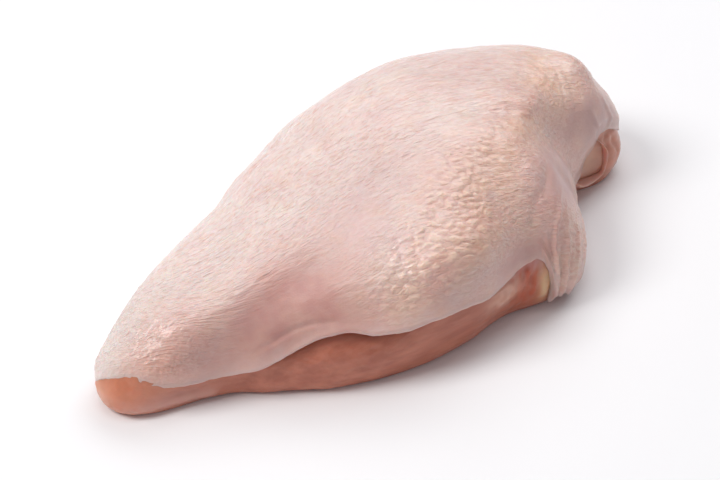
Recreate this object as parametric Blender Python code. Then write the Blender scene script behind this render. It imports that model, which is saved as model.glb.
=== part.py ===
"""A raw chicken breast with its skin on: one half of the breast, lying skin side up.

The breast is a long drop shape. X runs from the thin tip (-X) to the thick shoulder end (+X),
-Y is the side where the flesh shows under the skin's hem, and Z is up. The meat stands on z = 0,
and the origin is the middle of the footprint's box.
"""

import math

import bmesh
import bpy
import numpy as np
from mathutils import Vector
from mathutils.bvhtree import BVHTree

MM = 0.001

# Driving sizes. Compass angles run round the crown in degrees: 0 points at the shoulder end,
# 90 at the far side, 180 at the tip and 270 at the near side.
CROWN = (9.0 * MM, 2.8 * MM)
SKIN_THICKNESS = 1.3 * MM
SKIN_GAP = 0.45 * MM

# The plan outline of the meat where it is widest, round from the tip along the near side.
OUTLINE = [
    (x * MM, y * MM)
    for x, y in (
        (-91.5, 14.3), (-86.5, 2.8), (-70.5, -4.2), (-58.5, -13.7), (-43.5, -26.2), (-25, -35.7),
        (-6, -39.7), (12.5, -40.7), (31.3, -44.4), (40.3, -38.6), (51, -27.7), (67, -19.2),
        (81, -18.7), (89.5, -11.2), (90, 4.8), (79, 20.3), (64.5, 31.8), (45, 41.3), (23, 45.8),
        (1, 45.8), (-21, 39.3), (-43, 31.8), (-65, 26.3), (-80, 22.3),
    )
]

# Height of the back of the breast along X, before it rounds over at the outline.
BACK_HEIGHT = [
    (x * MM, z * MM)
    for x, z in (
        (-95, 11), (-89, 15.5), (-80, 20.5), (-62, 25.5), (-38, 30), (-10, 37.5), (13, 43),
        (35, 43.5), (52, 42), (65, 41), (76, 41), (88, 33),
    )
]

# Each list below gives a value by compass angle.
WIDEST_HEIGHT = [
    (a, z * MM)
    for a, z in (
        (0, 9), (60, 11), (90, 12), (150, 9.5), (172, 6.5), (190, 5.5), (230, 7.5), (270, 8.5),
        (310, 8.5), (340, 6.5),
    )
]
UNDERCUT = [
    (a, r * MM)
    for a, r in ((0, 5), (90, 6.5), (172, 4), (200, 3), (270, 4), (320, 4), (345, 4))
]
FLATNESS = [
    (0, 5.5), (40, 4), (90, 2.5), (140, 4.5), (173, 11), (195, 8), (215, 4.2), (240, 4.2),
    (268, 3.4), (285, 2.6), (310, 3), (340, 3.8),
]
ROUNDNESS = [
    (0, 2.1), (90, 1.9), (173, 2.1), (205, 1.9), (225, 2.3), (245, 2.6), (265, 2.2), (285, 1.75),
    (310, 1.9),
]
HEM_HEIGHT = [
    (a, z * MM)
    for a, z in (
        (0, 9), (20, 6), (60, 5), (110, 5), (150, 4), (170, 3), (174.5, 3.5), (175.8, 8),
        (177.3, 13.5), (178.2, 12.6), (179.6, 11.2), (181.5, 9.5), (184, 8.5), (187, 8.7),
        (192, 10.4), (196, 12.8), (200, 15.8), (206, 18.4), (212, 18.9), (218, 17.5),
        (224.5, 17.7), (235, 18.7), (242.5, 19.4), (248.8, 18.9), (253, 17.8), (261, 17.2),
        (268, 17.7), (275, 18.8), (280, 18.8), (282.5, 18), (284, 15.5), (285.5, 11), (287, 6.5),
        (288.5, 4.4), (290, 4), (297, 4), (298.5, 6.5), (301, 8.5), (306, 9), (330, 9), (337, 9),
        (339.6, 10.2), (340.7, 14), (341.5, 19.4), (342.5, 20), (344.5, 16.6), (347, 13), (351, 11),
    )
]

# Soft swells and hollows of the back: x, y, reach along X, reach along Y, height.
SWELLS = [
    tuple(size * MM for size in swell)
    for swell in (
        (-5, -27.5, 22, 15, 1.0),
        (-47, -10.5, 19, 8, -1.4),
        (-74, 4.5, 12, 8, 0.8),
        (60, -15, 14, 10, -4.0),
    )
]

# Mounds and dips raised along the surface's own normals: centre, reach by axis, height.
MOUNDS = [
    (tuple(c * MM for c in centre), tuple(r * MM for r in reach), height * MM)
    for centre, reach, height in (
        ((-46, -19, 22), (19, 6, 8), -0.4),
        ((-52, -2, 27), (22, 7, 8), 0.6),
        ((30, -14, 42), (16, 7, 8), 0.8),
        ((60, -18, 26), (9, 7, 10), -0.9),
        ((77.5, -5, 37), (9, 8, 6), 1.9),
        ((60, 10, 42), (16, 10, 7), -0.6),
        ((36, 24, 43), (16, 10, 8), -0.5),
        ((-40, 23, 30.5), (12, 9, 7), -1.1),
        ((-81, 16.5, 19), (8, 8, 8), -1.2),
        ((78, -18.5, 25), (5, 5, 8), -0.8),
        ((-7, -36, 29.5), (16, 9, 8.5), 3.1),
        ((-44, -10, 29), (20, 6, 8), -1.2),
        ((-30, -18, 31), (8, 9, 7), -0.9),
    )
]

# Hollows pressed into the sides of the meat: x, y, z, reach along the side, reach up, depth, and
# the way in.
HOLLOWS = [
    (tuple(size * MM for size in sizes), inward)
    for *sizes, inward in (
        (69, -20.5, 12, 5.5, 6, 3.2, (0, 1)),
        (-86, 3.5, 9, 9, 4, 1.8, (1, 0.3)),
    )
]

# The rim of membrane that curls round the hollow at the neck: an arc in the XZ plane.
RIM_CENTRE = (69.0 * MM, 12.3 * MM)
RIM_RADII = (6.8 * MM, 7.2 * MM)
RIM_TURN = (225.0, 385.0)
RIM_RADIUS = 1.2 * MM
RIM_GAP = 0.5 * MM
RIM_POINTS = 18

# The skin is gathered into long folds, from the neck corner down to the tongue in front.
FOLD_TOP = (60.0 * MM, -15.7 * MM)
FOLD_FOOT = (26.0 * MM, -45.7 * MM)
FOLD_SPACING = 3.9 * MM
FOLD_SPREAD = (-6.5 * MM, 6.0 * MM)
FOLD_FADE = 2.0 * MM
FOLD_GROWTH = 1.4
FOLD_END = 1.3
FOLD_HEIGHT = 1.6 * MM

SEGMENTS = 128
SKIN_RINGS = 11
WALL_RINGS = 4
CLOSE_SPOTS = (
    # Where the segments crowd together: x, y, reach, how many times closer.
    (-89.0 * MM, 5.7 * MM, 14.0 * MM, 2.2),
    (32.0 * MM, -44.0 * MM, 14.0 * MM, 2.0),
    (72.0 * MM, -19.0 * MM, 12.0 * MM, 1.6),
    (21.5 * MM, -43.0 * MM, 5.0 * MM, 3.0),
)

FLESH_COLOUR = (0.50, 0.20, 0.14, 1.0)
SKIN_COLOUR = (0.80, 0.58, 0.50, 1.0)
MEMBRANE_COLOUR = (0.66, 0.42, 0.36, 1.0)


def clear_scene():
    for item in list(bpy.data.objects):
        bpy.data.objects.remove(item, do_unlink=True)


def material(name, colour, roughness):
    made = bpy.data.materials.new(name)
    made.use_nodes = True
    shader = made.node_tree.nodes["Principled BSDF"]
    shader.inputs["Base Color"].default_value = colour
    shader.inputs["Roughness"].default_value = roughness
    shader.inputs["Metallic"].default_value = 0.0
    return made


def cubic(knots, values, where):
    """A smooth curve through (knots, values), read at where."""
    slopes = np.gradient(values, knots)
    where = np.clip(where, knots[0], knots[-1])
    i = np.clip(np.searchsorted(knots, where, side="right") - 1, 0, len(knots) - 2)
    span = knots[i + 1] - knots[i]
    t = (where - knots[i]) / span
    return (
        (2 * t**3 - 3 * t**2 + 1) * values[i]
        + (t**3 - 2 * t**2 + t) * span * slopes[i]
        + (3 * t**2 - 2 * t**3) * values[i + 1]
        + (t**3 - t**2) * span * slopes[i + 1]
    )


def along(table, where):
    table = np.array(table)
    return cubic(table[:, 0], table[:, 1], where)


def around(table, degrees):
    """Reads a table of (compass angle, value) that closes on itself."""
    table = np.array(sorted(table))
    knots = np.concatenate([table[:, 0] - 360, table[:, 0], table[:, 0] + 360])
    return cubic(knots, np.tile(table[:, 1], 3), np.mod(degrees, 360.0))


def swell(x, y):
    """The soft swells and hollows of the back, added to its height."""
    total = np.zeros_like(x)
    for middle_x, middle_y, reach_x, reach_y, height in SWELLS:
        total += height * np.exp(-(((x - middle_x) / reach_x) ** 2) - ((y - middle_y) / reach_y) ** 2)
    return total


def outline_radius(degrees):
    points = np.array(OUTLINE) - np.array(CROWN)
    angles = np.mod(np.degrees(np.arctan2(points[:, 1], points[:, 0])), 360.0)
    return around(list(zip(angles, np.hypot(points[:, 0], points[:, 1]))), degrees)


def meridians(degrees, samples=161):
    """Points down each meridian, from the crown over the widest line to the foot: (angle, sample, xyz)."""
    radius = outline_radius(degrees)[:, None]
    widest = around(WIDEST_HEIGHT, degrees)[:, None]
    undercut = around(UNDERCUT, degrees)[:, None]
    flatness = around(FLATNESS, degrees)[:, None]
    roundness = around(ROUNDNESS, degrees)[:, None]
    turn = np.radians(degrees)[:, None]
    way = np.linspace(0.0, 2.0, samples)[None, :]
    over = np.clip(way, 0, 1) * math.pi / 2
    under = np.clip(way - 1, 0, 1) * math.pi / 2
    share = np.sin(over)
    reach = share * radius - undercut * (1 - np.cos(under))
    x = CROWN[0] + reach * np.cos(turn)
    y = CROWN[1] + reach * np.sin(turn)
    back = along(BACK_HEIGHT, x) + swell(x, y)
    dome = np.clip(1 - share**flatness, 0, 1) ** (1 / roundness)
    z = np.where(way <= 1, widest + (back - widest) * dome, widest * (1 - np.sin(under)))
    return np.stack([x, y, z], axis=-1)


def lengths_down(lines):
    steps = np.linalg.norm(np.diff(lines, axis=1), axis=2)
    return np.concatenate([np.zeros((len(lines), 1)), np.cumsum(steps, axis=1)], axis=1)


def at_length(line, lengths, wanted):
    return np.stack([np.interp(wanted, lengths, line[:, k]) for k in range(3)], axis=-1)


def segment_angles(count):
    """Compass angles spaced evenly along the outline, and closer at the tip and the tongue."""
    fine = np.linspace(0.0, 360.0, 2881)
    radius = outline_radius(fine)
    x = CROWN[0] + radius * np.cos(np.radians(fine))
    y = CROWN[1] + radius * np.sin(np.radians(fine))
    step = np.hypot(np.diff(x), np.diff(y))
    weight = np.ones_like(step)
    for spot_x, spot_y, reach, times in CLOSE_SPOTS:
        weight += times * np.exp(-((x[:-1] - spot_x) ** 2 + (y[:-1] - spot_y) ** 2) / reach**2)
    total = np.concatenate([[0.0], np.cumsum(step * weight)])
    return np.interp(np.arange(count) / count * total[-1], total, fine)


def press_hollows(points):
    """Moves points on the sides towards the middle of the breast where a hollow lies."""
    pressed = points.copy()
    for (x, y, z, reach, reach_up, depth), inward in HOLLOWS:
        away = points - np.array([x, y, z])
        across = np.hypot(away[..., 0], away[..., 1]) / reach
        share = np.exp(-(across**2) - (away[..., 2] / reach_up) ** 2)
        pressed[..., :2] += (depth * share)[..., None] * np.array(inward)
    return pressed


def outward(lines):
    """Unit normals of the surface that points given as (angle, sample, xyz) lie on."""
    across = np.roll(lines, -1, axis=0) - np.roll(lines, 1, axis=0)
    normals = np.cross(np.gradient(lines, axis=1), across)
    normals[:, 0] = (0, 0, 1)
    return normals / np.linalg.norm(normals, axis=2, keepdims=True)


def raise_mounds(lines):
    lift = np.zeros(lines.shape[:2])
    for centre, reach, height in MOUNDS:
        away = (lines - np.array(centre)) / np.array(reach)
        lift += height * np.exp(-np.sum(away**2, axis=2))
    return lines + outward(lines) * lift[..., None]


def body_rings():
    """Rings below the crown, SKIN_RINGS down to the skin's hem and then to the foot, with normals."""
    degrees = segment_angles(SEGMENTS)
    lines = raise_mounds(meridians(degrees))
    lengths = lengths_down(lines)
    hem = around(HEM_HEIGHT, degrees)
    surface = press_hollows(lines)
    normals = outward(surface)
    rings = np.zeros((SKIN_RINGS + WALL_RINGS, SEGMENTS, 3))
    ring_normals = np.zeros_like(rings)
    for k in range(SEGMENTS):
        falling = lines[k, ::-1, 2]
        hem_length = np.interp(hem[k], falling, lengths[k, ::-1])
        skin_shares = np.arange(1, SKIN_RINGS + 1) / SKIN_RINGS
        wall_shares = np.arange(1, WALL_RINGS + 1) / WALL_RINGS
        wall = hem_length + wall_shares * (lengths[k, -1] - hem_length)
        wanted = np.concatenate([skin_shares * hem_length, wall])
        rings[:, k] = at_length(surface[k], lengths[k], wanted)
        ring_normals[:, k] = at_length(normals[k], lengths[k], wanted)
    return surface[0, 0], rings, ring_normals


def ring_faces(bm, centre, rings, turned):
    """A fan round a centre vertex, then triangles between the rings, split the other way from turned on."""
    count = len(rings[0])
    for k in range(count):
        bm.faces.new((centre, rings[0][k], rings[0][(k + 1) % count]))
    for number, (upper, lower) in enumerate(zip(rings, rings[1:])):
        for k in range(count):
            after = (k + 1) % count
            if number < turned:
                bm.faces.new((upper[k], lower[k], lower[after]))
                bm.faces.new((upper[k], lower[after], upper[after]))
            else:
                bm.faces.new((upper[k], lower[k], upper[after]))
                bm.faces.new((lower[k], lower[after], upper[after]))


def build_body(name, top, rings, last=None):
    """A closed mesh from a top point over rings, which ends at a flat foot or runs back to a last point.

    On the way back the triangles split the other way, so that both sides of a sheet have equal facets.
    """
    bm = bmesh.new()
    centre = bm.verts.new(top)
    rows = [[bm.verts.new(point) for point in ring] for ring in rings]
    ring_faces(bm, centre, rows, len(rows) if last is None else len(rows) // 2)
    foot = rows[-1]
    if last is None:
        bm.faces.new(list(reversed(foot)))
    else:
        end = bm.verts.new(last)
        for k in range(len(foot)):
            bm.faces.new((end, foot[(k + 1) % len(foot)], foot[k]))
    bm.normal_update()
    mesh = bpy.data.meshes.new(name)
    bm.to_mesh(mesh)
    bm.free()
    return bpy.data.objects.new(name, mesh)


def fold_lift(points):
    """How far the long folds stand out: side by side ridges that grow towards the tongue's foot."""
    top = np.array(FOLD_TOP)
    run = np.array(FOLD_FOOT) - top
    length = np.hypot(*run)
    run = run / length
    away = points[..., :2] - top
    down = away @ run / length
    across = away @ np.array([-run[1], run[0]])
    low, high = FOLD_SPREAD
    inside = np.clip((across - low) / FOLD_FADE, 0, 1) * np.clip((high - across) / FOLD_FADE, 0, 1)
    growth = np.clip(down * FOLD_GROWTH, 0, 1) * (down < FOLD_END)
    ridges = 0.5 + 0.5 * np.cos(2 * math.pi * across / FOLD_SPACING)
    return FOLD_HEIGHT * ridges * inside * growth


def build_meat(top, rings):
    meat = build_body("breast_meat", top, rings)
    meat.data.materials.append(material("flesh", FLESH_COLOUR, 0.35))
    return meat


def build_skin(top, rings, normals):
    """The skin follows the meat above the hem, a small gap off, as a sheet of even thickness."""
    rings = rings[:SKIN_RINGS]
    normals = normals[:SKIN_RINGS]
    lift = SKIN_GAP + fold_lift(rings)[..., None]
    inner = rings + normals * lift
    outer = inner + normals * SKIN_THICKNESS
    up = np.array([0.0, 0.0, 1.0])
    inner_top = top + up * SKIN_GAP
    sheet = np.concatenate([outer, inner[::-1]])
    skin = build_body("breast_skin", inner_top + up * SKIN_THICKNESS, sheet, last=inner_top)
    skin.data.materials.append(material("skin", SKIN_COLOUR, 0.4))
    return skin


def build_neck_membrane(meat):
    """A tapering rim of membrane, laid along the meat's own facets round the neck hollow."""
    tree = BVHTree.FromPolygons(
        [v.co.copy() for v in meat.data.vertices], [list(p.vertices) for p in meat.data.polygons]
    )
    curve = bpy.data.curves.new("neck_membrane", "CURVE")
    curve.dimensions = "3D"
    curve.bevel_depth = RIM_RADIUS
    curve.bevel_resolution = 2
    curve.use_fill_caps = True
    spline = curve.splines.new("POLY")
    spline.points.add(RIM_POINTS - 1)
    for k in range(RIM_POINTS):
        share = k / (RIM_POINTS - 1)
        turn = math.radians(RIM_TURN[0] + share * (RIM_TURN[1] - RIM_TURN[0]))
        x = RIM_CENTRE[0] + RIM_RADII[0] * math.cos(turn)
        z = RIM_CENTRE[1] + RIM_RADII[1] * math.sin(turn)
        hits = [
            tree.ray_cast(Vector((x + side, -1.0, z + up)), Vector((0.0, 1.0, 0.0)))[0]
            for side in (-RIM_RADIUS, 0.0, RIM_RADIUS)
            for up in (-RIM_RADIUS, 0.0, RIM_RADIUS)
        ]
        y = min(hit.y for hit in hits if hit) - RIM_RADIUS - RIM_GAP
        spline.points[k].co = (x, y, z, 1.0)
        spline.points[k].radius = 0.55 + 0.45 * math.sin(math.pi * share)
    membrane = bpy.data.objects.new("neck_membrane", curve)
    curve.materials.append(material("membrane", MEMBRANE_COLOUR, 0.35))
    return membrane


def main():
    clear_scene()
    breast = bpy.data.collections.new("raw_chicken_breast")
    bpy.context.scene.collection.children.link(breast)
    top, rings, normals = body_rings()
    meat = build_meat(top, rings)
    parts = [meat, build_skin(top, rings, normals), build_neck_membrane(meat)]
    for item in parts:
        breast.objects.link(item)


main()
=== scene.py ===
# %% [markdown]
# A raw chicken breast with its skin on, lying skin side up on a white table.
# The breast is one muscle with a sheet of skin laid over it. The skin stops at a hem low on the side,
# and below the hem the bare flesh shows. Both surfaces are sculpted here at a far finer grain than the
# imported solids, inside the same outlines, and they take over from those solids.

# %% Load the frame
import math

import bpy
import numpy as np
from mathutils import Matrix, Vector, noise
from mathutils.bvhtree import BVHTree


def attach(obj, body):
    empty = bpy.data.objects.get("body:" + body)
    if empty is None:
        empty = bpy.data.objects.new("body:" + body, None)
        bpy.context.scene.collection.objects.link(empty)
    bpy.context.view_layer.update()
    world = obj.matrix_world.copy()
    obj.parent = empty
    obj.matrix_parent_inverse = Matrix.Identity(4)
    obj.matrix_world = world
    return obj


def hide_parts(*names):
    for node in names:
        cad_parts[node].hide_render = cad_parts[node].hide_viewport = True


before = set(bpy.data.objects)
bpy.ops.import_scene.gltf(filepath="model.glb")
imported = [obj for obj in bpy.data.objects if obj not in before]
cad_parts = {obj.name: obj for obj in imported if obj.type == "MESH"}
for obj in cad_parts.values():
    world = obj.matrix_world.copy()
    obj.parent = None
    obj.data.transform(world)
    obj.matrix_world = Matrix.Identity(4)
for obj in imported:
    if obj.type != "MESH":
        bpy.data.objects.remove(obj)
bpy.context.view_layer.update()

MM = 0.001
print("nodes to dress:", sorted(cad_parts))

# %% [markdown]
# The breast is long and soft, so no box or sphere comes near it. A loft works well: stand at the crown,
# look out in every compass direction, and follow the surface down to the table. A few heights and
# widths, given at chosen angles, say how each of those lines falls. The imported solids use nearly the
# same sizes, so what is sculpted here lies where they lie. All sizes are in millimetres here, and the
# frame's X runs from the tip to the shoulder. First come the outline from above and the back's height.

# %% Outline and back
CROWN = (9.0, 2.8)
SKIN_GAP = 0.45
SKIN_THICKNESS = 1.3

OUTLINE = (
    (-91.5, 14.3), (-86.5, 2.8), (-70.5, -4.2), (-58.5, -13.7), (-43.5, -26.2), (-25, -35.7),
    (-6, -39.7), (12.5, -40.7), (31.3, -44.4), (40.3, -38.6), (51, -27.7), (67, -19.2),
    (81, -18.7), (89.5, -11.2), (90, 4.8), (79, 20.3), (64.5, 31.8), (45, 41.3), (23, 45.8),
    (1, 45.8), (-21, 39.3), (-43, 31.8), (-65, 26.3), (-80, 22.3),
)

BACK_HEIGHT = (
    (-95, 11), (-89, 15.5), (-80, 20.5), (-62, 25.5), (-38, 30), (-10, 37.5), (13, 43),
    (35, 43.5), (52, 42), (65, 41), (76, 41), (88, 33),
)
print("outline points:", len(OUTLINE), "tallest back in mm:", max(height for _, height in BACK_HEIGHT))

# %% [markdown]
# Seen in section, each side is a rounded dome that bulges out to a widest line low above the table,
# and tucks under below it. How flat the dome's top is and how round its shoulder is change from the
# thick shoulder end to the thin tip, so each is a short list by compass angle.

# %% Sides by compass angle
# 0 is the shoulder end, 90 the far side, 180 the tip, 270 the near side.
WIDEST_HEIGHT = (
    (0, 9), (60, 11), (90, 12), (150, 9.5), (172, 6.5), (190, 5.5), (230, 7.5), (270, 8.5),
    (310, 8.5), (340, 6.5),
)
UNDERCUT = ((0, 5), (90, 6.5), (172, 4), (200, 3), (270, 4), (320, 4), (345, 4))
FLATNESS = (
    (0, 5.5), (40, 4), (90, 2.5), (140, 4.5), (173, 11), (195, 8), (215, 4.2), (240, 4.2), (268, 3.4),
    (285, 2.6), (310, 3.0), (340, 3.8),
)
ROUNDNESS = (
    (0, 2.1), (90, 1.9), (173, 2.1), (205, 1.9), (225, 2.3), (245, 2.6), (265, 2.2), (285, 1.75),
    (310, 1.9),
)
widest_heights = [height for _, height in WIDEST_HEIGHT]
print("widest line between", min(widest_heights), "and", max(widest_heights), "mm up")

# %% [markdown]
# The hem is where the skin was trimmed. Round the back it lies almost on the table. At the tip it is
# notched, along the near side it runs halfway up, then it drops to the tongue of skin in front of the
# shoulder, and it rises once more at the neck. Its height by compass angle describes all of that.

# %% Hem
HEM_HEIGHT = (
    (0, 9), (20, 6), (60, 5), (110, 5), (150, 4), (168, 3.4), (171, 4.6), (172.5, 7.4), (173.6, 9.3),
    (175, 10.6), (176.3, 11.7), (177.3, 12.5), (178.2, 12.2), (179.6, 11.2), (181.5, 9.5), (184, 8.5),
    (187, 8.7), (192, 10.4), (196, 12.8), (200, 15.8), (206, 18.4), (212, 18.9), (218, 17.5),
    (224.5, 17.7), (235, 18.7), (242.5, 19.4), (248.8, 18.9), (253, 17.8), (261, 17.2), (268, 17.7),
    (275, 18.8), (280, 18.8), (283.6, 18), (285, 15.5), (285.6, 11), (286, 5), (288, 4), (290, 4),
    (297, 4), (298.5, 6.5), (301, 8.5), (306, 9.0), (330, 9.0), (337, 9.0), (339.6, 10.2), (340.7, 14),
    (341.5, 19.4), (342.5, 20), (344.5, 16.6), (347, 13), (351, 11),
)
print("hem points:", len(HEM_HEIGHT))

# %% [markdown]
# On the plain loft lie the muscle's own swells. Those of the back only change its height. The others
# are raised along the surface's own normals, so they work on the steep sides too, and two hollows, at
# the neck and at the tip, are pressed straight in.

# %% Swells, mounds and hollows
SWELLS = (
    # x, y, reach along X, reach along Y, height
    (-5, -27.5, 22, 15, 1.0),
    (-47, -10.5, 19, 8, -1.4),
    (-74, 4.5, 12, 8, 0.8),
    (60, -15, 14, 10, -4.0),
)
MOUNDS = (
    # centre, reach by axis, height
    ((-46, -19, 22), (19, 6, 8), -0.4),
    ((-52, -2, 27), (22, 7, 8), 0.6),
    ((30, -14, 42), (16, 7, 8), 0.8),
    ((60, -18, 26), (9, 7, 10), -0.9),
    ((77.5, -5, 37), (9, 8, 6), 1.9),
    ((60, 10, 42), (16, 10, 7), -0.6),
    ((36, 24, 43), (16, 10, 8), -0.5),
    ((-40, 23, 30.5), (12, 9, 7), -1.1),
    ((-81, 16.5, 19), (8, 8, 8), -1.2),
    ((78, -18.5, 25), (5, 5, 8), -0.8),
    ((-7, -36, 29.5), (16, 9, 8.5), 3.1),
    ((-44, -10, 29), (20, 6, 8), -1.2),
    ((-30, -18, 31), (8, 9, 7), -0.9),
)

HOLLOWS = (
    # centre, reach along the side, reach up, depth, way in
    ((69, -20.5, 12), 5.5, 6, 3.2, (0, 1)),
    ((-86, 3.5, 9), 9, 4, 1.8, (1, 0.3)),
)
print("swells:", len(SWELLS), "mounds:", len(MOUNDS), "hollows:", len(HOLLOWS))


# %% [markdown]
# A soft body needs soft curves between its few given sizes. A cubic curve through each list of knots
# does that, and a list that runs round the compass is repeated once each way, so that its curve
# closes on itself without a kink.

# %% Smooth curves through the sizes
def cubic(knots, values, where):
    """A smooth curve through (knots, values), read at where."""
    slopes = np.gradient(values, knots)
    where = np.clip(where, knots[0], knots[-1])
    i = np.clip(np.searchsorted(knots, where, side="right") - 1, 0, len(knots) - 2)
    span = knots[i + 1] - knots[i]
    t = (where - knots[i]) / span
    return (
        (2 * t**3 - 3 * t**2 + 1) * values[i]
        + (t**3 - 2 * t**2 + t) * span * slopes[i]
        + (3 * t**2 - 2 * t**3) * values[i + 1]
        + (t**3 - t**2) * span * slopes[i + 1]
    )


def along(table, where):
    table = np.array(table, dtype=float)
    return cubic(table[:, 0], table[:, 1], where)


def around(table, degrees):
    table = np.array(sorted(table), dtype=float)
    knots = np.concatenate([table[:, 0] - 360, table[:, 0], table[:, 0] + 360])
    return cubic(knots, np.tile(table[:, 1], 3), np.mod(degrees, 360.0))


def compass(x, y):
    return np.mod(np.degrees(np.arctan2(y - CROWN[1], x - CROWN[0])), 360.0)


def outline_radius(degrees):
    points = np.array(OUTLINE)
    reach = np.hypot(points[:, 0] - CROWN[0], points[:, 1] - CROWN[1])
    return around(list(zip(compass(points[:, 0], points[:, 1]), reach)), degrees)


print("radius at tip, near side, shoulder:", outline_radius(np.array([175.0, 270.0, 0.0])).round(1))


# %% [markdown]
# Each line from the crown falls in two steps. Down to the widest line it follows a rounded dome, whose
# flatness and roundness change with the compass angle. Below that a quarter of an ellipse tucks it
# under, to the flat face that the breast lies on.

# %% Lines from the crown to the table
LINE_SAMPLES = 321


def swell(x, y):
    total = np.zeros_like(x)
    for middle_x, middle_y, reach_x, reach_y, height in SWELLS:
        total += height * np.exp(-(((x - middle_x) / reach_x) ** 2) - ((y - middle_y) / reach_y) ** 2)
    return total


def falling_lines(degrees):
    """Points down each line, as an array of (angle, sample, xyz)."""
    radius = outline_radius(degrees)[:, None]
    widest = around(WIDEST_HEIGHT, degrees)[:, None]
    undercut = around(UNDERCUT, degrees)[:, None]
    turn = np.radians(degrees)[:, None]
    way = np.linspace(0.0, 2.0, LINE_SAMPLES)[None, :]
    under = np.clip(way - 1, 0, 1) * math.pi / 2
    share = np.sin(np.clip(way, 0, 1) * math.pi / 2)
    reach = share * radius - undercut * (1 - np.cos(under))
    x = CROWN[0] + reach * np.cos(turn)
    y = CROWN[1] + reach * np.sin(turn)
    back = along(BACK_HEIGHT, x) + swell(x, y)
    flatness = around(FLATNESS, degrees)[:, None]
    roundness = around(ROUNDNESS, degrees)[:, None]
    dome = np.clip(1 - share**flatness, 0, 1) ** (1 / roundness)
    z = np.where(way <= 1, widest + (back - widest) * dome, widest * (1 - np.sin(under)))
    return np.stack([x, y, z], axis=-1)


def lengths_down(lines):
    steps = np.linalg.norm(np.diff(lines, axis=1), axis=2)
    return np.concatenate([np.zeros((len(lines), 1)), np.cumsum(steps, axis=1)], axis=1)


def patch(points, centre, reach):
    """A soft blob: 1 at its centre and 0 beyond its reach."""
    away = (points - np.array(centre, dtype=float)) / np.array(reach, dtype=float)
    return np.exp(-np.sum(away**2, axis=-1))


def press_hollows(points):
    """Moves points on the sides inwards where the neck hollow and the tip hollow lie."""
    pressed = points.copy()
    for centre, reach, reach_up, depth, inward in HOLLOWS:
        away = points - np.array(centre)
        across = np.hypot(away[..., 0], away[..., 1]) / reach
        share = np.exp(-(across**2) - (away[..., 2] / reach_up) ** 2)
        pressed[..., :2] += (depth * share)[..., None] * np.array(inward, dtype=float)
    return pressed


def patches(points, spots):
    """Several blobs added up: each is (strength, centre, reach)."""
    return sum(strength * patch(points, centre, reach) for strength, centre, reach in spots)


print("a line down the near side has", falling_lines(np.array([270.0])).shape[1], "points")


# %% [markdown]
# The grid's vertical lines are spread evenly along the outline, and drawn closer together at the tip,
# the hanging tongue of skin and the neck, because the small forms are there.

# %% Spread the lines round the outline
SEGMENTS = 768
OUTLINE_STEPS = 5760
CLOSE_SPOTS = (
    # x, y, reach, how many times closer
    (-89.0, 5.7, 16.0, 1.2),
    (32.0, -44.0, 14.0, 1.0),
    (72.0, -19.0, 12.0, 1.0),
)


def segment_angles(count):
    fine = np.linspace(0.0, 360.0, OUTLINE_STEPS + 1)
    radius = outline_radius(fine)
    x = CROWN[0] + radius * np.cos(np.radians(fine))
    y = CROWN[1] + radius * np.sin(np.radians(fine))
    step = np.hypot(np.diff(x), np.diff(y))
    weight = np.ones_like(step)
    for spot_x, spot_y, reach, times in CLOSE_SPOTS:
        weight += times * np.exp(-((x[:-1] - spot_x) ** 2 + (y[:-1] - spot_y) ** 2) / reach**2)
    total = np.concatenate([[0.0], np.cumsum(step * weight)])
    outline_run = np.concatenate([[0.0], np.cumsum(step)])
    angles = np.interp(np.arange(count) / count * total[-1], total, fine)
    return angles, np.interp(angles, fine, outline_run)


ANGLES, OUTLINE_RUN = segment_angles(SEGMENTS)


def outward(surface):
    """Unit normals of a surface given as (angle, sample, xyz)."""
    around_it = np.roll(surface, -1, axis=0) - np.roll(surface, 1, axis=0)
    normals = np.cross(np.gradient(surface, axis=1), around_it)
    normals[:, 0] = (0, 0, 1)
    return normals / np.linalg.norm(normals, axis=2, keepdims=True)


def raise_mounds(lines):
    lift = sum(height * patch(lines, centre, reach) for centre, reach, height in MOUNDS)
    return lines + outward(lines) * lift[..., None]


LINES = raise_mounds(falling_lines(ANGLES))
LENGTHS = lengths_down(LINES)
SURFACE = press_hollows(LINES)
NORMALS = outward(SURFACE)
print("perimeter in mm:", round(float(OUTLINE_RUN[-1]), 1), "longest line:", round(float(LENGTHS.max()), 1))


# %% [markdown]
# The hem is where a knife trimmed the skin, so it wanders a little, and at the tip it is nibbled into
# small scallops. A one-dimensional noise along the outline adds that to the given heights. The noise
# is a fixed formula, so the hem is the same on every run. Each noise is given as (size, pitch).

# %% Where the skin ends
HEM_WANDER = (0.45, 7.0)
HEM_NIBBLE = (0.22, 2.2)
LOWEST_HEM = 2.6
SOFTENING = 14


def hem_heights():
    heights = around(HEM_HEIGHT, ANGLES)
    for size, pitch in (HEM_WANDER, HEM_NIBBLE):
        heights = heights + size * np.array([noise.noise((run / pitch, 3.7, pitch)) for run in OUTLINE_RUN])
    return np.maximum(heights, LOWEST_HEM)


HEM = hem_heights()
# How far down each line the hem's height is reached.
HEM_LENGTH = np.array(
    [np.interp(HEM[k], LINES[k, ::-1, 2], LENGTHS[k, ::-1]) for k in range(SEGMENTS)]
)


def rows_at(lengths):
    """Rows of surface points and normals, at the given lengths (row, line) down the lines."""
    rows = np.empty((len(lengths), SEGMENTS, 3))
    normals = np.empty_like(rows)
    for k in range(SEGMENTS):
        for axis in range(3):
            rows[:, k, axis] = np.interp(lengths[:, k], LENGTHS[k], SURFACE[k, :, axis])
            normals[:, k, axis] = np.interp(lengths[:, k], LENGTHS[k], NORMALS[k, :, axis])
    return rows, normals / np.linalg.norm(normals, axis=2, keepdims=True)


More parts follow.
